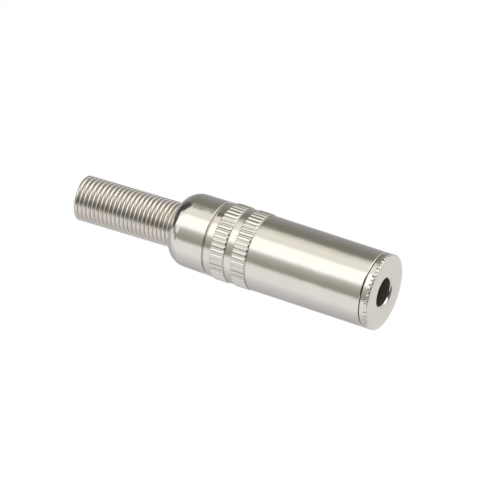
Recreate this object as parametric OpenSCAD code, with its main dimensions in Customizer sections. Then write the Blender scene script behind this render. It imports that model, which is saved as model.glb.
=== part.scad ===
// In-line mono jack socket: a nickel plated bushing with a frame of contacts behind it,
// a knurled barrel that screws over the contacts, and a coil spring that guards the cable.
// The plug axis is Z. The mouth face lies at z = 0 and the cable leaves towards +Z.

/* [Front bushing] */
// Diameter of the plug bore
plug_bore_d = 3.7; // [3.54:0.02:3.9]
// Diameter of the countersink at the mouth
mouth_d = 4.68; // [4.2:0.02:5.2]
// Depth of the countersink
mouth_depth = 0.4; // [0.2:0.05:0.9]
// Thickness of the flange in front of the barrel
flange_t = 1.2; // [0.9:0.05:1.6]
// Axial depth of the rounded front edge of the flange
flange_round_z = 0.2; // [0.1:0.02:0.45]
// Radial width of the rounded front edge of the flange
flange_round_r = 0.6; // [0.3:0.05:0.9]
// Number of notches rolled into the flange edge
notch_count = 50; // [36:2:60]
// Width of one notch
notch_w = 0.26; // [0.2:0.02:0.4]
// Depth of one notch
notch_depth = 0.2; // [0.1:0.02:0.3]
// Length of the notches behind the rounded edge
notch_l = 0.25; // [0.15:0.05:0.4]
// Length of the threaded part behind the flange
thread_l = 5.1; // [4.5:0.1:6]
// Length of the thread run-out groove
relief_l = 0.5; // [0.3:0.05:0.8]
// Depth of the thread run-out groove
relief_depth = 0.35; // [0.2:0.05:0.5]
// Wall of the spigot that is staked over the contact frame
spigot_wall = 0.45; // [0.35:0.05:0.6]
// Width of the staked lip
stake_lip = 0.2; // [0.15:0.05:0.35]
// Length of the staked lip
stake_l = 0.4; // [0.3:0.05:0.6]

/* [Barrel] */
// Outside diameter of the barrel and of the flange
barrel_d = 10; // [9:0.1:11]
// Wall of the barrel
barrel_wall = 0.75; // [0.6:0.05:0.9]
// Length of the smooth front part
smooth_l = 16.2; // [15:0.1:18]
// Length of one knurled band
band_l = 1.96; // [1.4:0.02:2.4]
// Length of the plain ring behind each band
ring_l = 0.82; // [0.6:0.02:1.3]
// Width of the turned grooves between the grip rings
groove_w = 0.29; // [0.15:0.01:0.4]
// Depth of the turned grooves between the grip rings
groove_depth = 0.22; // [0.08:0.01:0.3]
// Width of the turned groove in front of the shoulder
end_groove_w = 0.39; // [0.2:0.01:0.5]
// Depth of the turned groove in front of the shoulder
end_groove_depth = 0.38; // [0.2:0.01:0.45]
// How far the knurl stands proud of the barrel
knurl_proud = 0.1; // [0.05:0.01:0.2]
// Depth of the knurl
knurl_depth = 0.18; // [0.1:0.01:0.22]
// Bevel on the front ends of the knurl ridges
knurl_bevel = 0.1; // [0.05:0.01:0.2]
// Number of knurl ridges round a band
knurl_count = 46; // [36:2:56]
// Length of the plain shoulder with its rounded end
shoulder_l = 5.8; // [5.2:0.1:7.2]
// How much smaller the shoulder is in radius than the barrel
shoulder_drop = 0.05; // [0.02:0.01:0.12]
// Radius of the rounded rear end
end_round = 2.6; // [2.2:0.1:3.2]
// Length of the cable hole through the rear end
hole_l = 1.5; // [1.2:0.1:1.9]
// Edge break on the meeting edges of barrel and flange
edge_break = 0.13; // [0.08:0.01:0.18]
// Wall of the insulating tube inside the barrel
tube_wall = 0.2; // [0.15:0.05:0.3]

/* [Contact frame] */
// Thickness of the frame's sheet
sheet_t = 0.45; // [0.35:0.05:0.55]
// Width of the arm that carries the contact stack
arm_w = 3.2; // [2.8:0.1:3.6]
// Outside radius of the bend between plate and arm
bend_r = 0.6; // [0.56:0.02:0.8]
// Step outwards between the arm and the cable clamp
joggle = 0.2; // [0.1:0.05:0.25]
// Angle that the open cable clamp spans
clamp_angle = 150; // [110:5:200]
// Diameter of the solder hole in the arm
frame_hole_d = 1.1; // [0.8:0.1:1.4]

/* [Contact stack] */
// Length of the plug that goes in
plug_l = 14; // [13.6:0.1:14.6]
// Free length between the plug's end and the stack
plug_room = 2.6; // [2:0.1:3.2]
// Length of the insulating wafers
wafer_l = 4.4; // [4:0.1:5]
// Thickness of the wafer on the frame
inner_wafer_t = 0.6; // [0.4:0.05:0.75]
// Thickness of the wafer on the terminal
outer_wafer_t = 0.5; // [0.4:0.05:0.7]
// Thickness of the plate under the rivet heads
pressure_plate_t = 0.3; // [0.2:0.05:0.5]
// Diameter of the rivets
rivet_d = 1; // [0.8:0.05:1.2]
// Diameter of the rivet heads
rivet_head_d = 1.8; // [1.5:0.1:2.1]
// Height of the rivet heads
rivet_head_h = 0.3; // [0.2:0.05:0.35]
// Distance between the two rivets
rivet_pitch = 2.2; // [2:0.1:2.6]
// Wall of the insulating sleeves on the rivets
rivet_sleeve_wall = 0.23; // [0.15:0.02:0.3]

/* [Tip contact] */
// Thickness of the tip terminal
terminal_t = 0.3; // [0.2:0.05:0.4]
// Width of the tip terminal
terminal_w = 2.5; // [2.2:0.1:2.9]
// Length of the terminal's nose in front of the stack
nose_l = 1; // [0.8:0.05:1.4]
// Length of the terminal's solder tag behind the stack
tag_l = 3.4; // [2.8:0.1:4]
// Diameter of the hole in the solder tag
tag_hole_d = 0.9; // [0.6:0.1:1.1]
// Thickness of the contact leaf
leaf_t = 0.2; // [0.12:0.02:0.26]
// Width of the contact leaf
leaf_w = 1.8; // [1.4:0.1:2.2]
// Depth from the mouth face to the crest of the leaf
tip_depth = 12.2; // [11.6:0.1:12.8]
// How far the crest reaches inside the bore's wall line
tip_press = 0.5; // [0.3:0.05:0.7]
// Length of the lead-in in front of the crest
lead_l = 1.3; // [1:0.1:1.8]
// How far the lead-in turns outwards
lead_rise = 0.6; // [0.4:0.05:0.7]

/* [Strain relief spring] */
// Wire diameter
wire_d = 0.59; // [0.5:0.01:0.66]
// Outside diameter of the coil
coil_d = 6; // [5.5:0.02:6.3]
// Length of the coil outside the barrel
coil_out_l = 14.26; // [9:0.02:18]
// Room between neighbouring turns
coil_gap = 0.02; // [0.01:0.01:0.1]
// Bearing of the coil's inner end, in degrees from +X
coil_start = 153; // [0:1:360]
// Lean of the coil in its hole, in degrees
coil_lean = 1.5; // [0:0.1:2]
// How far the flared inner turn reaches past the cable hole
flare_lip = 0.5; // [0.35:0.05:0.6]

/* [Fits] */
// Radial play of the barrel on the thread
thread_play = 0.05; // [0.02:0.01:0.1]
// Radial play of the insulating tube in the barrel
tube_play = 0.02; // [0.01:0.01:0.05]
// Radial room between the contact frame and the insulating tube
frame_play = 0.15; // [0.1:0.05:0.3]
// Radial play of pieces on the spigot and the rivets
stack_play = 0.02; // [0.01:0.01:0.03]
// Radial play of the coil in the cable hole
coil_play = 0.14; // [0.08:0.02:0.2]
// Axial play of the flared turn behind the cable hole
flare_play = 0.06; // [0.04:0.02:0.12]
// Room at the ends of the tube and of the cable clamp
end_room = 0.35; // [0.2:0.05:0.5]

/* [Hidden] */
$fn = 96;
cut = 1;             // overrun of cutting tools
arc_steps = 8;       // straight steps in a turned round
coil_steps = 16;     // rings of the wire in one turn
wire_sides = 8;      // sides of the wire
leaf_steps = 10;     // straight steps on each side of the leaf's crest

// Bushing stations
bore_r = plug_bore_d / 2;
barrel_r = barrel_d / 2;
shell_bore_r = barrel_r - barrel_wall;
thread_d = 2 * (shell_bore_r - thread_play);    // the thread fits the barrel's bore
thread_r = thread_d / 2;
seat_z = flange_t + thread_l;
plate_z = seat_z + sheet_t;
stake_z = plate_z + stake_l;
spigot_r = bore_r + spigot_wall;
stake_r = spigot_r + stake_lip;

// Barrel stations
grip_pitch = groove_w + band_l + ring_l;
grip_z = flange_t + smooth_l;
shoulder_z = grip_z + 2 * grip_pitch + end_groove_w;
barrel_end = shoulder_z + shoulder_l;
shoulder_r = barrel_r - shoulder_drop;
groove_r = barrel_r - groove_depth;
end_groove_r = barrel_r - end_groove_depth;
knurl_r = barrel_r + knurl_proud;
hole_r = coil_d / 2 + coil_play;
hole_lip = 0.12;     // flat rim round the cable hole
round_r = shoulder_r - end_round;    // centre of the rounded end, from the axis
rim_offset = hole_r + hole_lip - round_r;
round_z = barrel_end - sqrt(end_round * end_round - rim_offset * rim_offset);
stop_z = barrel_end - hole_l;        // inner stop for the flared turn
stop_cone_h = 0.6;   // height of the cone that leads to the stop
stop_room = 0.2;     // room round the flared turn at the stop
stop_r = hole_r + flare_lip + stop_room;
cone_z = stop_z - stop_cone_h;

// Insulating tube
tube_r = shell_bore_r - tube_play;
tube_in_r = tube_r - tube_wall;
tube_z = stake_z + end_room;

// Spring
coil_pitch = wire_d + coil_gap;
coil_r = (coil_d - wire_d) / 2;
flare_r = hole_r + flare_lip - wire_d / 2;
flare_turns = 1;
taper_turns = 0.75;
coil_z = stop_z - flare_play - wire_d / 2 - coil_pitch * (flare_turns + taper_turns);
coil_end = barrel_end + coil_out_l - wire_d / 2;
coil_turns = (coil_end - coil_z) / coil_pitch;
tube_end = coil_z - wire_d / 2 - end_room;    // the tube and the clamp stop short of the coil

// Contact frame: the arm lies on the -X side
frame_r = tube_in_r - frame_play;
arm_x = sqrt(frame_r * frame_r - arm_w * arm_w / 4);
stack_z = plug_l + plug_room;
stack_end = stack_z + wafer_l;
tag_end = stack_end + tag_l;
frame_hole_z = stack_end + frame_hole_d;
neck_inset = 0.6;    // how much narrower the neck is on each side
neck_w = arm_w - 2 * neck_inset;
neck_z = frame_hole_z + frame_hole_d;
neck_l = 0.6;
clamp_z = neck_z + neck_l;
clamp_r = arm_x + joggle;

// Stack, from the arm towards the axis
inner_wafer_x = -arm_x + sheet_t;
terminal_x = inner_wafer_x + inner_wafer_t;
outer_wafer_x = terminal_x + terminal_t;
pressure_plate_x = outer_wafer_x + outer_wafer_t;
stack_top_x = pressure_plate_x + pressure_plate_t;
tag_rim = 0.45;      // metal round the hole in the solder tag
rivet_r = rivet_d / 2;
rivet_hole_r = rivet_r + stack_play;
sleeve_r = rivet_hole_r + rivet_sleeve_wall;
sleeve_hole_r = sleeve_r + stack_play;
rivet_zs = [for (side = [-1, 1]) (stack_z + stack_end + side * rivet_pitch) / 2];

// Tip contact leaf, lapped on the nose of the terminal
nose_z = stack_z - nose_l;
lap_room = 0.1;      // room between the lapped leaf and the stack
leaf_back_z = stack_z - lap_room;
leaf_root_x = outer_wafer_x + leaf_t;    // inner face of the leaf where it is lapped
crest_x = tip_press - bore_r;

function ellipse_arc(centre, radii, from, to) =
    [for (i = [0 : arc_steps])
        let (a = from + (to - from) * i / arc_steps)
        [centre[0] + radii[0] * cos(a), centre[1] + radii[1] * sin(a)]];

// A flat sheet standing across X: the outline is drawn in Y and Z
module sheet_across_x(x, t) {
    translate([x, 0, 0]) rotate([90, 0, 90]) linear_extrude(t) children();
}

// A strip bent in the XZ plane, of the given width along Y
module bent_strip(width) {
    rotate([90, 0, 0]) linear_extrude(width, center = true) children();
}

module holes_along_x(x0, x1, r) {
    for (z = rivet_zs)
        translate([x0, 0, z]) rotate([0, 90, 0]) cylinder(r = r, h = x1 - x0);
}

module flange_notches() {
    notch_z = flange_round_z + notch_l;
    for (i = [0 : notch_count - 1])
        rotate(i * 360 / notch_count) translate([0, 0, -cut]) linear_extrude(notch_z + cut)
            polygon([[barrel_r - notch_depth, 0],
                     [barrel_r + notch_depth, notch_w],
                     [barrel_r + notch_depth, -notch_w]]);
}

module front_bushing() {
    edge_centre = [barrel_r - flange_round_r, flange_round_z];
    color([0.80, 0.78, 0.74]) difference() {
        rotate_extrude() polygon(concat(
            [[bore_r, stake_z], [bore_r, mouth_depth], [mouth_d / 2, 0]],
            ellipse_arc(edge_centre, [flange_round_r, flange_round_z], -90, 0),
            [[barrel_r, flange_t - edge_break], [barrel_r - edge_break, flange_t],
             [thread_r - relief_depth, flange_t], [thread_r - relief_depth, flange_t + relief_l],
             [thread_r, flange_t + relief_l + relief_depth], [thread_r, seat_z - relief_depth / 2],
             [thread_r - relief_depth / 2, seat_z], [spigot_r, seat_z], [spigot_r, plate_z],
             [stake_r, plate_z], [spigot_r, stake_z]]));
        flange_notches();
    }
}

// The front plate of the frame, trimmed where the bend takes over
module frame_plate() {
    translate([0, 0, seat_z]) linear_extrude(sheet_t) difference() {
        intersection() {
            circle(r = frame_r);
            translate([bend_r - arm_x, -frame_r]) square([2 * frame_r, 2 * frame_r]);
        }
        circle(r = spigot_r + stack_play);
    }
}

module frame_bend() {
    bent_strip(arm_w) translate([bend_r - arm_x, seat_z + bend_r]) intersection() {
        difference() {
            circle(r = bend_r);
            circle(r = bend_r - sheet_t);
        }
        translate([-bend_r, -bend_r]) square(bend_r);
    }
}

module frame_arm() {
    difference() {
        translate([-arm_x, -arm_w / 2, seat_z + bend_r])
            cube([sheet_t, arm_w, neck_z - seat_z - bend_r]);
        holes_along_x(-arm_x - cut, cut - arm_x, rivet_hole_r);
        translate([-arm_x - cut, 0, frame_hole_z]) rotate([0, 90, 0])
            cylinder(d = frame_hole_d, h = 2 * cut);
    }
    bent_strip(neck_w)
        polygon([[-arm_x, neck_z], [sheet_t - arm_x, neck_z],
                 [sheet_t - clamp_r, clamp_z], [-clamp_r, clamp_z]]);
}

module cable_clamp() {
    translate([0, 0, clamp_z]) rotate(180 - clamp_angle / 2)
        rotate_extrude(angle = clamp_angle)
            translate([clamp_r - sheet_t, 0]) square([sheet_t, tube_end - clamp_z]);
}

module contact_frame() {
    color([0.78, 0.70, 0.52]) union() {
        frame_plate();
        frame_bend();
        frame_arm();
        cable_clamp();
    }
}

module wafer(x, t) {
    difference() {
        sheet_across_x(x, t) translate([-arm_w / 2, stack_z]) square([arm_w, wafer_l]);
        holes_along_x(x - cut, x + t + cut, sleeve_hole_r);
    }
}

module inner_wafer() {
    color([0.42, 0.24, 0.12]) wafer(inner_wafer_x, inner_wafer_t);
}

module outer_wafer() {
    color([0.42, 0.24, 0.12]) wafer(outer_wafer_x, outer_wafer_t);
}

module tip_terminal() {
    tag_r = tag_hole_d / 2 + tag_rim;
    tag_z = tag_end - tag_r;
    color([0.82, 0.80, 0.76]) difference() {
        sheet_across_x(terminal_x, terminal_t) difference() {
            union() {
                translate([-terminal_w / 2, nose_z]) square([terminal_w, stack_end - nose_z]);
                translate([-tag_r, stack_end - tag_r]) square([2 * tag_r, tag_z - stack_end + tag_r]);
                translate([0, tag_z]) circle(r = tag_r);
            }
            translate([0, tag_z]) circle(d = tag_hole_d);
        }
        holes_along_x(terminal_x - cut, terminal_x + terminal_t + cut, sleeve_hole_r);
    }
}

module pressure_plate() {
    color([0.78, 0.70, 0.52]) difference() {
        sheet_across_x(pressure_plate_x, pressure_plate_t)
            translate([-arm_w / 2, stack_z]) square([arm_w, wafer_l]);
        holes_along_x(pressure_plate_x - cut, stack_top_x + cut, rivet_hole_r);
    }
}

// A rivet along +X from the arm's outer face, with a domed head at each end
module rivet() {
    grip = stack_top_x + arm_x;
    head_r = rivet_head_d / 2;
    rotate([0, 90, 0]) rotate_extrude() polygon(concat(
        ellipse_arc([0, 0], [head_r, rivet_head_h], -90, 0),
        [[rivet_r, 0], [rivet_r, grip]],
        ellipse_arc([0, grip], [head_r, rivet_head_h], 0, 90)));
}

module stack_rivets() {
    color([0.72, 0.64, 0.46])
        for (z = rivet_zs) translate([-arm_x, 0, z]) rivet();
}

module rivet_sleeves() {
    color([0.90, 0.88, 0.80]) difference() {
        holes_along_x(inner_wafer_x, pressure_plate_x, sleeve_r);
        holes_along_x(inner_wafer_x - cut, pressure_plate_x + cut, rivet_hole_r);
    }
}

// Inner face of the leaf: flat on the terminal, arched to the crest, turned out at the lead-in
function leaf_x(z) =
    z >= nose_z ? leaf_root_x :
    z >= tip_depth
        ? crest_x - (crest_x - leaf_root_x) * (1 - cos(90 * (z - tip_depth) / (nose_z - tip_depth)))
        : crest_x - lead_rise * (1 - cos(90 * (tip_depth - z) / lead_l));

module tip_contact_leaf() {
    zs = concat([leaf_back_z],
        [for (i = [0 : leaf_steps]) nose_z + (tip_depth - nose_z) * i / leaf_steps],
        [for (i = [1 : leaf_steps]) tip_depth - lead_l * i / leaf_steps]);
    last = len(zs) - 1;
    color([0.80, 0.56, 0.32]) bent_strip(leaf_w) polygon(concat(
        [for (z = zs) [leaf_x(z), z]],
        [for (i = [last : -1 : 0]) [leaf_x(zs[i]) - leaf_t, zs[i]]]));
}

// Radius of the wire's centre line after the given number of turns
function turn_r(turn) =
    turn < flare_turns ? flare_r :
    turn < flare_turns + taper_turns
        ? flare_r + (coil_r - flare_r) * (1 - cos(180 * (turn - flare_turns) / taper_turns)) / 2
        : coil_r;

module strain_relief_spring() {
    rings = ceil(coil_turns * coil_steps);
    points = [for (i = [0 : rings])
        let (turn = coil_turns * i / rings, a = coil_start + 360 * turn, rise = coil_pitch * turn)
        for (k = [0 : wire_sides - 1])
            let (b = 360 * k / wire_sides, r = turn_r(turn) + wire_d / 2 * cos(b))
            [r * cos(a) - rise * tan(coil_lean), r * sin(a), coil_z + rise + wire_d / 2 * sin(b)]];
    sides = [for (i = [0 : rings - 1], k = [0 : wire_sides - 1])
        let (a = i * wire_sides + k, b = i * wire_sides + (k + 1) % wire_sides)
        [a, b, b + wire_sides, a + wire_sides]];
    start_cap = [for (k = [wire_sides - 1 : -1 : 0]) k];
    end_cap = [for (k = [0 : wire_sides - 1]) rings * wire_sides + k];
    color([0.76, 0.74, 0.70]) polyhedron(points, concat(sides, [start_cap, end_cap]));
}

// Ridged outline of a knurled band: a flat crest and a sharp root for each ridge
module knurl_outline() {
    step = 360 / knurl_count;
    flank = 0.22;    // share of the pitch taken by one flank
    polygon([for (i = [0 : knurl_count - 1])
        for (p = [[0, knurl_r - knurl_depth], [flank, knurl_r], [1 - flank, knurl_r]])
            p[1] * [cos((i + p[0]) * step), sin((i + p[0]) * step)]]);
}

// A knurled band with bevelled front ends, and rear ends that run out on the plain ring
module knurl_band(z) {
    translate([0, 0, z]) intersection() {
        linear_extrude(band_l) knurl_outline();
        rotate_extrude()
            polygon([[0, 0], [knurl_r - knurl_bevel, 0], [knurl_r, knurl_bevel],
                     [knurl_r, band_l - knurl_proud], [barrel_r, band_l], [0, band_l]]);
    }
}

// The turned outside of the barrel as a solid bar
module barrel_bar() {
    grip_section = function (z)
        [[groove_r, z], [groove_r, z + groove_w + band_l],
         [barrel_r, z + groove_w + band_l], [barrel_r, z + grip_pitch]];
    round_from = asin((barrel_end - round_z) / end_round);
    rotate_extrude() polygon(concat(
        [[0, barrel_end]],
        ellipse_arc([round_r, round_z], [end_round, end_round], round_from, 0),
        [[shoulder_r, shoulder_z], [end_groove_r, shoulder_z], [end_groove_r, shoulder_z - end_groove_w]],
        [for (i = [3 : -1 : 0]) grip_section(grip_z + grip_pitch)[i]],
        [for (i = [3 : -1 : 0]) grip_section(grip_z)[i]],
        [[barrel_r, grip_z], [barrel_r, flange_t + edge_break],
         [barrel_r - edge_break, flange_t], [0, flange_t]]));
}

module barrel_shell() {
    color([0.80, 0.78, 0.74]) difference() {
        union() {
            barrel_bar();
            for (i = [0, 1]) knurl_band(grip_z + i * grip_pitch + groove_w);
        }
        translate([0, 0, flange_t - cut])
            cylinder(r = shell_bore_r, h = cone_z - flange_t + cut);
        translate([0, 0, cone_z])
            cylinder(r1 = shell_bore_r, r2 = stop_r, h = stop_cone_h);
        translate([0, 0, stop_z - cut]) cylinder(r = hole_r, h = hole_l + 2 * cut);
    }
}

module insulating_tube() {
    color([0.92, 0.90, 0.84]) translate([0, 0, tube_z]) difference() {
        cylinder(r = tube_r, h = tube_end - tube_z);
        translate([0, 0, -cut]) cylinder(r = tube_in_r, h = tube_end - tube_z + 2 * cut);
    }
}

front_bushing();
contact_frame();
inner_wafer();
tip_terminal();
outer_wafer();
pressure_plate();
stack_rivets();
rivet_sleeves();
tip_contact_leaf();
strain_relief_spring();
barrel_shell();
insulating_tube();
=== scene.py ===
"""Looks of an in-line mono jack socket: satin nickel barrel and bushing, coil spring, contacts inside.

Lengths are millimetres until a mesh is made. The plug axis is Z, with the mouth face at z = 0.
"""
import math

import bpy
from mathutils import Matrix, Vector


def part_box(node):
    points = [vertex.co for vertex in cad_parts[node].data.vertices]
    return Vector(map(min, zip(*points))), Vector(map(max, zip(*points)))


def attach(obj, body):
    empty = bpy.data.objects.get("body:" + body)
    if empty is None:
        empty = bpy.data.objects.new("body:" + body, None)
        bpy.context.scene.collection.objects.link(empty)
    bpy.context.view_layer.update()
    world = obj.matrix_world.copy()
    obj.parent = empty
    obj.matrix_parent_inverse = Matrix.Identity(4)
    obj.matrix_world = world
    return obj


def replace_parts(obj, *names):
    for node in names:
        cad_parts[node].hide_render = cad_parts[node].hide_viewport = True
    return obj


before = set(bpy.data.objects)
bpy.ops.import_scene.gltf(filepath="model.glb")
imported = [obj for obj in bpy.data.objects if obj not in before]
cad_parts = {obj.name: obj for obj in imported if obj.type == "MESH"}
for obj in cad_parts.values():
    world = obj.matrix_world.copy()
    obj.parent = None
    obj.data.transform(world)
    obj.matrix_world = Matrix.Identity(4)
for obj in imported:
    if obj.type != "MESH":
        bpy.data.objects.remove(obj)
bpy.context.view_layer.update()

MM = 0.001

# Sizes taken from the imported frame
shell_low, shell_high = (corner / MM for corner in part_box("barrel_shell"))
bushing_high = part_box("front_bushing")[1] / MM
spring_low, spring_high = (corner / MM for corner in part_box("strain_relief_spring"))
FLANGE_T = shell_low.z
BARREL_END = shell_high.z
STAKE_Z = bushing_high.z
BARREL_R = bushing_high.x

# Turned form of the barrel
SMOOTH_L = 16.2
BAND_COUNT = 2
BAND_L = 1.96
RING_L = 0.82
MIDDLE_RING_TAPER = 0.015
LAST_RING_TAPER = 0.055
GROOVE_W = 0.29
GROOVE_SLOPE = 0.04
GROOVE_R = BARREL_R - 0.16
END_GROOVE_W = 0.39
END_GROOVE_SLOPE = 0.08
END_GROOVE_R = BARREL_R - 0.38
SHOULDER_R = BARREL_R - 0.05
SHOULDER_TAPER = 0.065
END_ROUND = 2.6
END_ROUND_STEPS = 20
EDGE_BREAK = 0.13
JOINT_GAP = 0.05
JOINT_DEPTH = 0.25
SHELL_BORE_R = 4.25
SHELL_CHAMFER_L = 0.15
SHELL_CHAMFER_W = 0.12
HOLE_R = 3.14
HOLE_LIP = 0.12
HOLE_L = 1.5
STOP_CONE_H = 0.6
STOP_R = HOLE_R + 0.7

# Knurl of the two grip bands
KNURL_COUNT = 46
KNURL_R = shell_high.y
KNURL_PROUD = KNURL_R - BARREL_R
KNURL_DEPTH = 0.12
KNURL_TURN = 2.5
KNURL_BEVEL = 0.1
KNURL_RUNOUT = 0.25
KNURL_FLANK = 0.36
SEGMENTS_PER_RIDGE = 20
SEGMENTS_PER_GAP = 4

# Bushing: mouth, notched flange and staked spigot
BORE_R = 1.9
MOUTH_R = 2.5
MOUTH_DEPTH = 0.27
LIP_R = 0.2
LIP_Z = 0.06
LIP_STEPS = 12
FLANGE_ROUND_Z = 0.2
FLANGE_ROUND_R = 0.6
FLANGE_ROUND_STEPS = 12
NOTCH_COUNT = 50
NOTCH_DEPTH = 0.2
NOTCH_W = 0.26
NOTCH_L = 0.25
NOTCH_EDGE = 0.04
SEGMENTS_PER_NOTCH = 12
SPIGOT_R = 2.3
STAKE_LIP = 0.2
STAKE_L = 0.4
SHEET_T = 0.45
SEAT_Z = STAKE_Z - STAKE_L - SHEET_T

# The notches are pressed to uneven depths: their mean share, its swing and the swing's step per notch
NOTCH_MEAN = 0.75
NOTCH_SWING = 0.25
NOTCH_STEP = 2.4

# Thread on the bushing and, shallower, in the barrel
THREAD_R = 4.2
THREAD_PITCH = 0.5
THREAD_DEPTH = 0.24
THREAD_ROWS = 24
THREAD_LEAD_IN = 0.3
RELIEF_L = 0.5
RELIEF_DEPTH = 0.35
SHELL_THREAD_DEPTH = THREAD_DEPTH * 0.5
SHELL_THREAD_ROWS = 10
SHELL_THREAD_START = 0.3
SHELL_THREAD_PAST_SEAT = 1.0

# Coil spring, wound so close that its turns touch
WIRE_D = 0.61
COIL_D = 6.0
COIL_START = 153.0
COIL_LEAN = 1.5
FLARE_LIP = 0.5
FLARE_TURNS = 1.0
TAPER_TURNS = 0.75
COIL_STEPS = 48
WIRE_SIDES = 14

# How far the corners of the turned outlines are rounded
SHARP = 0
EASE_TINY = 0.02
EASE_SMALL = 0.03
EASE_KNURL = 0.04
EASE = 0.05
EASE_RELIEF = 0.06
EASE_STAKE = 0.08
EASE_SHOULDER = 0.12

# Edges sharper than this many degrees break the smooth shading
SHARP_ANGLE = 35

# Slack when the rows and faces of a mesh are told apart by their place
SLACK = 0.001
WIDE_SLACK = 0.01

# Fine marks: the noise's scale along X, Y and Z
TURNED = (60.0, 60.0, 9000.0)
EVEN = (1000.0, 1000.0, 1000.0)
ROLLED = (300.0, 300.0, 4000.0)
MARK_DETAIL = 4.0
MARK_ROUGHNESS = 0.6
MARK_STRENGTH = 0.5
CLOUD_SCALE = 260.0
CLOUD_DETAIL = 3.0
NOISE_SPAN = (0.3, 0.7)

# Colour painted into crevices that occlusion finds, painted shade with some dirt: how far it looks for a
# wall, and the openness at which it is full and gone
CREVICE = 0.35
CREVICE_SAMPLES = 8
CREVICE_SPAN = (0.15, 0.62)
# Grey painted into the nickel's crevices: painted shade, with some dirt
NICKEL_DIRT_AND_SHADE = (0.13, 0.12, 0.105, 1.0)
# Brown painted into the crevices of the bore and the inner parts: painted shade, with some dirt
BROWN_DIRT_AND_SHADE = (0.10, 0.06, 0.03, 1.0)

# Camera: the plug axis runs down to the right in the picture, with the mouth towards the viewer
PICTURE = 480
AXIS_TO_VIEW = 67.5
AXIS_SLOPE = 18.2
PIXELS_PER_MM = 7.81
CAMERA_DISTANCE = 800.0
CLIP_START = 0.01
AIM_Z = 21.16
AIM_RISE = 0.64

# Plain light from all round on what doesn't mirror
SOFT_LIGHT = 0.75

# What the metal mirrors, above and below the horizon: bearing from the viewer's side in degrees (positive
# is upwards in the picture), the light there and its share of blue
WALLS = [
    (-180, 0.62, 1.04), (-147, 0.49, 1.04), (-124, 0.61, 1.03), (-102, 0.73, 1.02), (-80, 0.95, 1.0),
    (-50, 0.96, 0.99), (-45, 0.87, 0.95), (-39, 0.42, 0.91), (-36, 0.38, 0.89), (-28, 0.385, 0.89),
    (-16, 0.50, 0.92), (-9, 0.60, 0.96), (-4, 0.81, 0.98), (1, 1.25, 0.98), (6, 1.42, 0.98),
    (37, 1.40, 0.97), (42, 1.03, 0.96), (47, 0.98, 0.93), (56, 1.04, 0.92), (68, 0.95, 0.92),
    (76, 0.80, 0.91), (83, 0.36, 0.86), (90, 0.25, 0.86), (104, 0.25, 0.88), (118, 0.30, 0.97),
    (135, 0.35, 1.02), (156, 0.43, 1.02), (180, 0.62, 1.04),
]
TABLE = [
    (-180, 0.82, 0.99), (-150, 0.82, 1.0), (-120, 0.66, 1.0), (-90, 0.72, 1.0), (-72, 0.88, 1.0),
    (-56, 0.90, 1.0), (-49, 0.66, 0.98), (-43, 0.15, 0.88), (-18, 0.14, 0.88), (-8, 0.30, 0.93),
    (2, 0.46, 0.95), (16, 0.48, 0.95), (30, 0.55, 0.95), (44, 0.85, 0.95), (58, 1.50, 0.96),
    (88, 1.50, 0.97), (97, 1.25, 1.0), (108, 0.95, 1.0), (122, 0.78, 1.0), (145, 0.74, 1.0),
    (168, 0.82, 0.99), (180, 0.82, 0.99),
]
HORIZON = 0.2

# Round patches of light and shade: direction, the angles at which each is full and gone, its light
PATCHES = [
    ((-0.14, -0.66, 0.74), 4, 15, 1.05),
    ((-0.45, -0.46, 0.77), 4, 12, 0.36),
    ((-0.22, -0.31, 0.93), 3, 10, 0.38),
    ((0.14, -0.09, 0.98), 11, 19, 0.08),
    ((0.42, 0.12, 0.90), 13, 21, 0.15),
    ((0.81, -0.22, 0.54), 4, 11, 0.15),
    ((0.68, -0.14, 0.72), 9, 19, 0.08),
    ((0.42, 0.03, 0.91), 6, 14, 0.05),
    ((0.0, 0.18, -0.98), 18, 27, 0.16),
    ((0.0, -0.45, -0.89), 14, 22, 0.06),
    ((0.50, 0.14, -0.85), 13, 19, 1.8),
]

# Floor and key lamp, in metres and watts
FLOOR_HALF = 2.0
FLOOR_LEVEL = -0.00002
FLOOR_PALE = 0.86
LAMP_SIZE = 0.25
LAMP_POWER = 1.6
LAMP_PLACE = (0.25, -0.35, 0.5)


def mesh_object(name, verts, faces):
    """A smooth-shaded mesh object from points in millimetres, with sharp edges where it turns hard."""
    mesh = bpy.data.meshes.new(name)
    mesh.from_pydata([Vector(v) * MM for v in verts], [], faces)
    mesh.validate()
    mesh.shade_smooth()
    mesh.set_sharp_from_angle(angle=math.radians(SHARP_ANGLE))
    obj = bpy.data.objects.new(name, mesh)
    bpy.context.scene.collection.objects.link(obj)
    return obj


def bend(start, corner, end, steps):
    """Points of a smooth bend from start to end that is drawn towards a corner."""
    places = [k / steps for k in range(steps + 1)]
    return [tuple((1 - t) ** 2 * start + 2 * t * (1 - t) * corner + t * t * end) for t in places]


def eased(outline, steps=4, support=1.4, share=0.4):
    """The points of a closed outline of (r, z, ease) corners.

    Each corner is rounded in steps. A supporting point on either side, a little further off than the
    rounding reaches, keeps the flats flat, and no rounding takes more than a share of its side.
    """
    points = []
    for i, (r, z, ease) in enumerate(outline):
        if ease == SHARP:
            points.append((r, z))
            continue
        corner = Vector((r, z))
        back = Vector(outline[i - 1][:2]) - corner
        ahead = Vector(outline[(i + 1) % len(outline)][:2]) - corner
        reach = ease / math.tan(back.angle(ahead) / 2)
        reach_back = min(reach, back.length * share / support)
        reach_ahead = min(reach, ahead.length * share / support)
        start = corner + back.normalized() * reach_back
        end = corner + ahead.normalized() * reach_ahead
        points.append(tuple(corner + back.normalized() * reach_back * support))
        points += bend(start, corner, end, steps)
        points.append(tuple(corner + ahead.normalized() * reach_ahead * support))
    return points


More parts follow.
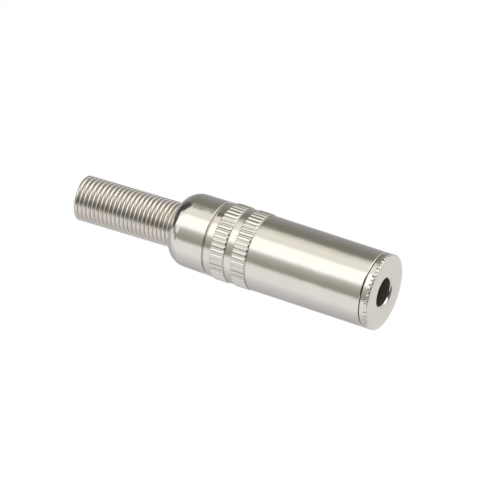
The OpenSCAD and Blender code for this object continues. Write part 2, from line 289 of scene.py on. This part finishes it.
def turned(name, outline, segments, radius):
    """A closed turned ring.

    segments(r, z) is the number of points round each row of the outline, and radius(r, z, turn) may press
    the row in or out round the axis. Between a fine row and a coarse one, a face takes in several points.
    """
    verts, rows = [], []
    for r, z in outline:
        count = segments(r, z)
        rows.append((len(verts), count))
        for j in range(count):
            turn = j / count
            rr = radius(r, z, turn)
            verts.append((rr * math.cos(math.tau * turn), rr * math.sin(math.tau * turn), z))

    def stretch(row, j, spans):
        """The points of a row along one of so many spans round the axis."""
        start, count = row
        step = count // spans
        return [start + k % count for k in range(j * step, (j + 1) * step + 1)]

    faces = []
    for row, following in zip(rows, rows[1:] + rows[:1]):
        spans = min(row[1], following[1])
        faces += [stretch(row, j, spans) + stretch(following, j, spans)[::-1] for j in range(spans)]
    return mesh_object(name, verts, faces)


def thread_rows(r, low, high, rows_per_turn):
    """Outline points close enough together to carry a thread."""
    count = round((high - low) / THREAD_PITCH * rows_per_turn)
    return [(r, low + (high - low) * k / count, SHARP) for k in range(count + 1)]


def thread_wave(z, turn):
    """0 at the crest and 1 at the root of a right-hand thread."""
    return (1 + math.cos(math.tau * (z / THREAD_PITCH - turn))) / 2


def barrel():
    """The barrel with its knurled bands, turned grooves, rounded end and threaded bore."""
    grip_z = FLANGE_T + SMOOTH_L
    grip_pitch = GROOVE_W + BAND_L + RING_L
    bands = [grip_z + i * grip_pitch + GROOVE_W for i in range(BAND_COUNT)]
    shoulder_z = grip_z + BAND_COUNT * grip_pitch + END_GROOVE_W
    stop_z = BARREL_END - HOLE_L
    round_r = SHOULDER_R - SHOULDER_TAPER - END_ROUND
    round_z = BARREL_END - math.sqrt(END_ROUND ** 2 - (HOLE_R + HOLE_LIP - round_r) ** 2)
    round_to = math.asin((BARREL_END - round_z) / END_ROUND)
    thread_low = FLANGE_T + SHELL_THREAD_START
    thread_high = SEAT_Z + SHELL_THREAD_PAST_SEAT

    outside = [
        (BARREL_R - JOINT_DEPTH, FLANGE_T, SHARP),
        (BARREL_R - JOINT_DEPTH, FLANGE_T + JOINT_GAP, EASE_SMALL),
        (BARREL_R - EDGE_BREAK + JOINT_GAP, FLANGE_T + JOINT_GAP, EASE_SMALL),
        (BARREL_R, FLANGE_T + EDGE_BREAK, EASE),
    ]
    for band, taper in zip(bands, (0.0, MIDDLE_RING_TAPER)):
        outside += [
            (BARREL_R - taper, band - GROOVE_W, EASE_SMALL),
            (GROOVE_R, band - GROOVE_W + GROOVE_SLOPE, EASE_SMALL),
            (GROOVE_R, band, EASE_TINY),
            (KNURL_R - KNURL_BEVEL, band, SHARP),
            (KNURL_R, band + KNURL_BEVEL, EASE_KNURL),
            (KNURL_R, band + BAND_L - KNURL_RUNOUT, SHARP),
            (KNURL_R, band + BAND_L - KNURL_PROUD, EASE_KNURL),
            (BARREL_R, band + BAND_L, EASE_SMALL),
        ]
    outside += [
        (BARREL_R - LAST_RING_TAPER, shoulder_z - END_GROOVE_W, EASE_SMALL),
        (END_GROOVE_R, shoulder_z - END_GROOVE_W + END_GROOVE_SLOPE, EASE),
        (END_GROOVE_R, shoulder_z - END_GROOVE_SLOPE, EASE),
        (SHOULDER_R, shoulder_z, EASE_SHOULDER),
    ]
    rounded_end = [
        (round_r + END_ROUND * math.cos(a), round_z + END_ROUND * math.sin(a), SHARP)
        for a in (round_to * k / END_ROUND_STEPS for k in range(END_ROUND_STEPS + 1))
    ]
    inside = [
        (HOLE_R, BARREL_END, EASE_KNURL),
        (HOLE_R, stop_z, EASE),
        (STOP_R, stop_z, EASE),
        (SHELL_BORE_R, stop_z - STOP_CONE_H, EASE),
    ]
    thread = thread_rows(SHELL_BORE_R, thread_low, thread_high, SHELL_THREAD_ROWS)[::-1]
    mouth = [
        (SHELL_BORE_R, FLANGE_T + SHELL_CHAMFER_L, SHARP),
        (SHELL_BORE_R + SHELL_CHAMFER_W, FLANGE_T, EASE_TINY),
    ]
    outline = eased(outside + rounded_end + inside + thread + mouth)

    def knurled(r, z):
        """How far along a knurled band a point is, or None off the bands."""
        if r < GROOVE_R + WIDE_SLACK:
            return None
        return next((z - band for band in bands if band - SLACK <= z <= band + BAND_L + SLACK), None)

    def segments(r, z):
        return KNURL_COUNT * (SEGMENTS_PER_GAP if knurled(r, z) is None else SEGMENTS_PER_RIDGE)

    def radius(r, z, turn):
        if r < SHELL_BORE_R + WIDE_SLACK:
            threaded = thread_low <= z <= thread_high
            return r + (SHELL_THREAD_DEPTH * thread_wave(z, turn) if threaded else 0)
        along = knurled(r, z)
        if along is None:
            return r
        phase = ((turn - KNURL_TURN / 360) * KNURL_COUNT) % 1
        from_root = min(phase, 1 - phase, KNURL_FLANK) / KNURL_FLANK
        runout = min(max((along - BAND_L + KNURL_RUNOUT) / KNURL_RUNOUT, 0.0), 1.0)
        depth = KNURL_DEPTH + (KNURL_PROUD - KNURL_DEPTH) * runout
        return min(r, KNURL_R - depth * (1 + math.cos(math.pi * from_root)) / 2)

    piece = turned("barrel_visual", outline, segments, radius)
    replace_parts(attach(piece, "barrel"), "barrel_shell")
    return piece


def bushing():
    """The bushing: mouth with a rounded lip, notched flange, thread and staked spigot."""
    notch_end = FLANGE_ROUND_Z + NOTCH_L
    thread_low = FLANGE_T + RELIEF_L + RELIEF_DEPTH
    lip = bend(
        Vector((BORE_R, MOUTH_DEPTH)), Vector((BORE_R + LIP_R, LIP_Z)), Vector((MOUTH_R, 0)), LIP_STEPS
    )
    mouth = [(BORE_R, STAKE_Z, EASE_SMALL)] + [(r, z, SHARP) for r, z in lip]
    edge = [
        (BARREL_R - FLANGE_ROUND_R * (1 - math.sin(a)), FLANGE_ROUND_Z * (1 - math.cos(a)), SHARP)
        for a in (math.radians(90 * k / FLANGE_ROUND_STEPS) for k in range(FLANGE_ROUND_STEPS + 1))
    ]
    flange = [
        (BARREL_R, notch_end, SHARP),
        (BARREL_R, notch_end + NOTCH_EDGE, SHARP),
        (BARREL_R, FLANGE_T - EDGE_BREAK, EASE),
        (BARREL_R - EDGE_BREAK, FLANGE_T, EASE_SMALL),
        (THREAD_R - RELIEF_DEPTH, FLANGE_T, EASE_RELIEF),
        (THREAD_R - RELIEF_DEPTH, FLANGE_T + RELIEF_L, SHARP),
    ]
    thread = thread_rows(THREAD_R, thread_low, SEAT_Z - RELIEF_DEPTH / 2, THREAD_ROWS)
    back = [
        (THREAD_R - RELIEF_DEPTH / 2, SEAT_Z, EASE_SMALL),
        (SPIGOT_R, SEAT_Z, SHARP),
        (SPIGOT_R, SEAT_Z + SHEET_T, SHARP),
        (SPIGOT_R + STAKE_LIP, SEAT_Z + SHEET_T, EASE),
        (SPIGOT_R, STAKE_Z, EASE_STAKE),
    ]
    outline = eased(mouth + edge + flange + thread + back)

    def notched(r, z):
        """Whether a point is where the flange's edge has notches."""
        return r > BARREL_R - NOTCH_DEPTH and z <= notch_end + SLACK

    def segments(r, z):
        return NOTCH_COUNT * (SEGMENTS_PER_NOTCH if notched(r, z) else SEGMENTS_PER_GAP)

    def radius(r, z, turn):
        if notched(r, z):
            notch = round(turn * NOTCH_COUNT)
            aside = abs(turn * NOTCH_COUNT - notch) * math.tau * BARREL_R / NOTCH_COUNT
            pressed = NOTCH_MEAN + NOTCH_SWING * math.sin(NOTCH_STEP * (notch % NOTCH_COUNT))
            return min(r, BARREL_R - NOTCH_DEPTH * pressed * max(0.0, 1 - 2 * aside / NOTCH_W))
        if r == THREAD_R and z >= thread_low:
            fade = min(1.0, (SEAT_Z - z) / THREAD_PITCH, (z - thread_low) / THREAD_PITCH + THREAD_LEAD_IN)
            return r - THREAD_DEPTH * fade * thread_wave(z, turn)
        return r

    piece = turned("bushing_visual", outline, segments, radius)
    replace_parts(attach(piece, "socket"), "front_bushing")
    return piece


def spring():
    """The close-wound coil: a flared turn held inside the barrel, then even turns to the cut end."""
    wire_r = WIRE_D / 2
    coil_r = COIL_D / 2 - wire_r
    flare_r = HOLE_R + FLARE_LIP - wire_r
    low, high = spring_low.z + wire_r, spring_high.z - wire_r
    turns = (high - low) / WIRE_D
    rings = math.ceil(turns * COIL_STEPS)

    verts = []
    for i in range(rings + 1):
        turn = turns * i / rings
        a = math.radians(COIL_START) + math.tau * turn
        rise = WIRE_D * turn
        lean = rise * math.tan(math.radians(COIL_LEAN))
        taper = min(max((turn - FLARE_TURNS) / TAPER_TURNS, 0), 1)
        middle = flare_r + (coil_r - flare_r) * (1 - math.cos(math.pi * taper)) / 2
        for k in range(WIRE_SIDES):
            side = math.tau * k / WIRE_SIDES
            r = middle + wire_r * math.cos(side)
            verts.append((r * math.cos(a) - lean, r * math.sin(a), low + rise + wire_r * math.sin(side)))

    faces = []
    for i in range(rings):
        near, far = i * WIRE_SIDES, (i + 1) * WIRE_SIDES
        for k in range(WIRE_SIDES):
            beside = (k + 1) % WIRE_SIDES
            faces.append((near + k, far + k, far + beside, near + beside))
    faces.append(tuple(range(WIRE_SIDES)))
    faces.append(tuple(rings * WIRE_SIDES + k for k in reversed(range(WIRE_SIDES))))
    piece = mesh_object("spring_visual", verts, faces)
    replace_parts(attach(piece, "strain_relief"), "strain_relief_spring")
    return piece


def node(tree, kind, inputs=None, **settings):
    """Adds a node, sets its properties and fills or links its inputs."""
    made = tree.nodes.new(kind)
    for key, value in settings.items():
        setattr(made, key, value)
    for key, value in (inputs or {}).items():
        if isinstance(value, bpy.types.NodeSocket):
            tree.links.new(value, made.inputs[key])
        else:
            made.inputs[key].default_value = value
    return made


def grey(*rgb):
    """A colour from one, or three, linear values."""
    return (*(rgb * 3 if len(rgb) == 1 else rgb), 1.0)


def ramp(tree, factor, stops):
    """A colour ramp through (position, colour) stops."""
    made = node(tree, "ShaderNodeValToRGB", {"Fac": factor})
    elements = made.color_ramp.elements
    while len(elements) < len(stops):
        elements.new(0.5)
    for element, (place, colour) in zip(elements, stops):
        element.position = place
        element.color = colour
    return made.outputs["Color"]


def mix(tree, factor, first, second):
    """The colour between two colours."""
    made = node(tree, "ShaderNodeMix", {"Factor": factor, "A": first, "B": second}, data_type="RGBA")
    return next(s for s in made.outputs if s.type == "RGBA" and s.enabled)


def remap(tree, value, span, to=(0.0, 1.0), interpolation="LINEAR"):
    """A value carried over from one span to another."""
    limits = {"From Min": span[0], "From Max": span[1], "To Min": to[0], "To Max": to[1]}
    made = node(tree, "ShaderNodeMapRange", {"Value": value, **limits}, interpolation_type=interpolation)
    return made.outputs["Result"]


def surface(name, light, dark, painted_crevice, stretch, scale, rough, bump, metallic, wave=0.0):
    """A material with fine marks: noise stretched along the piece varies roughness and relief.

    light and dark are the colours between which it varies in clouds, and grime is the colour painted down in
    the crevices that occlusion finds: painted shade with some dirt, or painted light where it is the lighter
    one. stretch is the noise's scale along X, Y and Z, rough is the range of roughness, bump the height of
    the marks in millimetres and wave the height of a slow unevenness under them.
    """
    material = bpy.data.materials.new(name)
    material.use_nodes = True
    tree = material.node_tree
    shader = tree.nodes["Principled BSDF"]
    place = node(tree, "ShaderNodeTexCoord").outputs["Object"]
    fine = node(tree, "ShaderNodeMapping", {"Vector": place, "Scale": stretch}).outputs["Vector"]
    marks = node(
        tree, "ShaderNodeTexNoise",
        {"Vector": fine, "Scale": scale, "Detail": MARK_DETAIL, "Roughness": MARK_ROUGHNESS},
    ).outputs["Fac"]
    cloud = node(
        tree, "ShaderNodeTexNoise", {"Vector": place, "Scale": CLOUD_SCALE, "Detail": CLOUD_DETAIL}
    ).outputs["Fac"]
    unpainted_colour = ramp(tree, cloud, list(zip(NOISE_SPAN, (dark, light))))
    # Where occlusion finds a crevice the base colour turns to the painted crevice colour: painted shade,
    # with some dirt, or painted light where that colour is lighter
    reach = node(
        tree, "ShaderNodeAmbientOcclusion", {"Distance": CREVICE * MM}, samples=CREVICE_SAMPLES
    ).outputs["AO"]
    open_share = remap(tree, reach, CREVICE_SPAN, interpolation="SMOOTHSTEP")
    tree.links.new(mix(tree, open_share, painted_crevice, unpainted_colour), shader.inputs["Base Color"])
    tree.links.new(remap(tree, marks, NOISE_SPAN, rough), shader.inputs["Roughness"])
    uneven = node(
        tree, "ShaderNodeBump", {"Height": cloud, "Strength": 1.0, "Distance": wave * MM}
    ).outputs["Normal"]
    relief = node(
        tree, "ShaderNodeBump",
        {"Height": marks, "Strength": MARK_STRENGTH, "Distance": bump * MM, "Normal": uneven},
    ).outputs["Normal"]
    tree.links.new(relief, shader.inputs["Normal"])
    shader.inputs["Metallic"].default_value = metallic
    return material


def dress(obj, material):
    """Gives a piece one material all over."""
    obj.data.materials.clear()
    obj.data.materials.append(material)


def paint_bore_shade(obj, material):
    """Gives the wall of the bushing's bore a second material of its own, near-black: painted shade for the
    dark inside of the hole.
    """
    obj.data.materials.append(material)
    for face in obj.data.polygons:
        if face.center.xy.length < (BORE_R + SLACK) * MM:
            face.material_index = 1


nickel = surface(
    "satin_nickel", grey(0.765, 0.73, 0.68), grey(0.73, 0.695, 0.645), NICKEL_DIRT_AND_SHADE,
    TURNED, 1.0, rough=(0.09, 0.14), bump=0.0005, metallic=1.0, wave=0.045,
)
# The spring's crevice colour is lighter than the wire: painted light filling the gaps between the turns
wire = surface(
    "spring_wire", grey(0.74, 0.70, 0.65), grey(0.68, 0.64, 0.59), grey(0.83, 0.78, 0.72),
    EVEN, 3.0, rough=(0.12, 0.2), bump=0.0008, metallic=1.0,
)
# Near-black colour, not metallic, on the metal bore's wall: painted shade for the dark inside of the hole
bore_shade = surface(
    "bore_painted_shade", grey(0.115, 0.096, 0.08), grey(0.085, 0.07, 0.058), BROWN_DIRT_AND_SHADE,
    TURNED, 1.0, rough=(0.5, 0.7), bump=0.001, metallic=0.0,
)
brass = surface(
    "stamped_brass", grey(0.76, 0.62, 0.36), grey(0.64, 0.50, 0.28), BROWN_DIRT_AND_SHADE,
    ROLLED, 1.0, rough=(0.22, 0.38), bump=0.002, metallic=1.0,
)
tinned = surface(
    "tinned_brass", grey(0.80, 0.79, 0.76), grey(0.66, 0.65, 0.62), BROWN_DIRT_AND_SHADE,
    EVEN, 2.0, rough=(0.25, 0.42), bump=0.003, metallic=1.0,
)
bronze = surface(
    "spring_bronze", grey(0.80, 0.52, 0.30), grey(0.70, 0.43, 0.24), BROWN_DIRT_AND_SHADE,
    ROLLED, 1.0, rough=(0.2, 0.32), bump=0.001, metallic=1.0,
)
phenolic = surface(
    "phenolic_wafer", grey(0.19, 0.075, 0.026), grey(0.12, 0.045, 0.016), BROWN_DIRT_AND_SHADE,
    ROLLED, 1.5, rough=(0.4, 0.6), bump=0.006, metallic=0.0,
)
plastic = surface(
    "insulating_plastic", grey(0.80, 0.78, 0.70), grey(0.74, 0.71, 0.63), BROWN_DIRT_AND_SHADE,
    EVEN, 1.0, rough=(0.45, 0.6), bump=0.003, metallic=0.0,
)

socket_front = bushing()
dress(socket_front, nickel)
paint_bore_shade(socket_front, bore_shade)
dress(barrel(), nickel)
dress(spring(), wire)
for name, material in {
    "contact_frame": brass,
    "pressure_plate": brass,
    "stack_rivets": brass,
    "tip_terminal": tinned,
    "tip_contact_leaf": bronze,
    "inner_wafer": phenolic,
    "outer_wafer": phenolic,
    "rivet_sleeves": plastic,
    "insulating_tube": plastic,
}.items():
    dress(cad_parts[name], material)


def studio_camera():
    """A long lens below the mouth's level, rolled so that the socket lies across the picture."""
    tilt, slope = math.radians(AXIS_TO_VIEW), math.radians(-AXIS_SLOPE)
    back = Vector((0, -math.sin(tilt), -math.cos(tilt)))
    along = (Vector((0, 0, -1)) + back * back.z).normalized()
    across = back.cross(along)
    right = along * math.cos(slope) - across * math.sin(slope)
    up = along * math.sin(slope) + across * math.cos(slope)
    aim = Vector((0, 0, AIM_Z)) + across * AIM_RISE
    data = bpy.data.cameras.new("camera")
    data.lens = PIXELS_PER_MM * CAMERA_DISTANCE * data.sensor_width / PICTURE
    data.clip_start = CLIP_START
    camera = bpy.data.objects.new("camera", data)
    place = Matrix.Translation((aim + back * CAMERA_DISTANCE) * MM)
    camera.matrix_world = place @ Matrix((right, up, back)).transposed().to_4x4()
    bpy.context.scene.collection.objects.link(camera)
    bpy.context.scene.camera = camera


def patch(tree, sight, behind, towards, inner, outer, level):
    """Blends a round patch of light or shade, seen within two angles of its direction, into the studio."""
    near = node(
        tree, "ShaderNodeVectorMath", {0: sight, 1: Vector(towards).normalized()}, operation="DOT_PRODUCT"
    ).outputs["Value"]
    span = (math.cos(math.radians(outer)), math.cos(math.radians(inner)))
    return mix(tree, remap(tree, near, span, interpolation="SMOOTHSTEP"), behind, grey(level))


def studio_world():
    """White behind the object; in its reflections a soft studio of pale walls, a softbox and grey flags."""
    world = bpy.data.worlds.new("studio")
    world.use_nodes = True
    bpy.context.scene.world = world
    tree = world.node_tree
    tree.nodes.clear()
    sight = node(tree, "ShaderNodeTexCoord").outputs["Generated"]
    direction = node(tree, "ShaderNodeSeparateXYZ", {"Vector": sight})
    x, y, z = (direction.outputs[axis] for axis in "XYZ")
    nearer = node(tree, "ShaderNodeMath", {0: y, 1: -1.0}, operation="MULTIPLY").outputs[0]
    bearing = node(tree, "ShaderNodeMath", {0: x, 1: nearer}, operation="ARCTAN2").outputs[0]
    round_share = remap(tree, bearing, (-math.pi, math.pi))
    upper, lower = (
        ramp(
            tree, round_share,
            [((turn + 180) / 360, grey(level, level, blue * level)) for turn, level, blue in around],
        )
        for around in (WALLS, TABLE)
    )
    below = remap(tree, z, (-HORIZON, HORIZON), (1.0, 0.0), "SMOOTHSTEP")
    studio = mix(tree, below, upper, lower)
    for towards, inner, outer, level in PATCHES:
        studio = patch(tree, sight, studio, towards, inner, outer, level)

    ray = node(tree, "ShaderNodeLightPath").outputs
    mirrored = node(
        tree, "ShaderNodeMath", {0: ray["Is Glossy Ray"], 1: ray["Is Transmission Ray"]}, operation="ADD"
    ).outputs[0]
    seen = node(
        tree, "ShaderNodeMath", {0: ray["Is Camera Ray"], 1: mirrored}, operation="ADD", use_clamp=True
    ).outputs[0]
    backdrop = mix(tree, ray["Is Camera Ray"], studio, grey(1.0))
    light = node(tree, "ShaderNodeBackground", {"Color": grey(SOFT_LIGHT), "Strength": 1.0})
    white = node(tree, "ShaderNodeBackground", {"Color": backdrop, "Strength": 1.0})
    both = node(tree, "ShaderNodeMixShader", {0: seen, 1: light.outputs[0], 2: white.outputs[0]})
    node(tree, "ShaderNodeOutputWorld", {"Surface": both.outputs[0]})


def studio_floor():
    """A pale floor that shows from above and lets light and sight through from below."""
    corners = ((-1, -1), (1, -1), (1, 1), (-1, 1))
    mesh = bpy.data.meshes.new("floor")
    mesh.from_pydata([(x * FLOOR_HALF, y * FLOOR_HALF, FLOOR_LEVEL) for x, y in corners], [], [(0, 1, 2, 3)])
    floor = bpy.data.objects.new("floor", mesh)
    bpy.context.scene.collection.objects.link(floor)
    material = bpy.data.materials.new("pale_floor")
    material.use_nodes = True
    tree = material.node_tree
    tree.nodes.clear()
    pale = node(tree, "ShaderNodeBsdfDiffuse", {"Color": grey(FLOOR_PALE)})
    clear = node(tree, "ShaderNodeBsdfTransparent")
    seen = node(tree, "ShaderNodeLightPath").outputs["Is Camera Ray"]
    behind = node(tree, "ShaderNodeNewGeometry").outputs["Backfacing"]
    above = node(
        tree, "ShaderNodeMath", {0: seen, 1: behind}, operation="SUBTRACT", use_clamp=True
    ).outputs[0]
    both = node(tree, "ShaderNodeMixShader", {0: above, 1: clear.outputs[0], 2: pale.outputs[0]})
    node(tree, "ShaderNodeOutputMaterial", {"Surface": both.outputs[0]})
    floor.data.materials.append(material)
    floor.visible_shadow = False


def studio_lamp():
    """A soft key lamp for the floor and the plain surfaces."""
    data = bpy.data.lights.new("key", "AREA")
    data.size = LAMP_SIZE
    data.energy = LAMP_POWER
    lamp = bpy.data.objects.new("key", data)
    lamp.location = LAMP_PLACE
    lamp.rotation_mode = "QUATERNION"
    lamp.rotation_quaternion = (-lamp.location).to_track_quat("-Z", "Y")
    lamp.visible_glossy = False
    bpy.context.scene.collection.objects.link(lamp)


studio_camera()
studio_world()
studio_floor()
studio_lamp()
bpy.context.scene.view_settings.view_transform = "Standard"
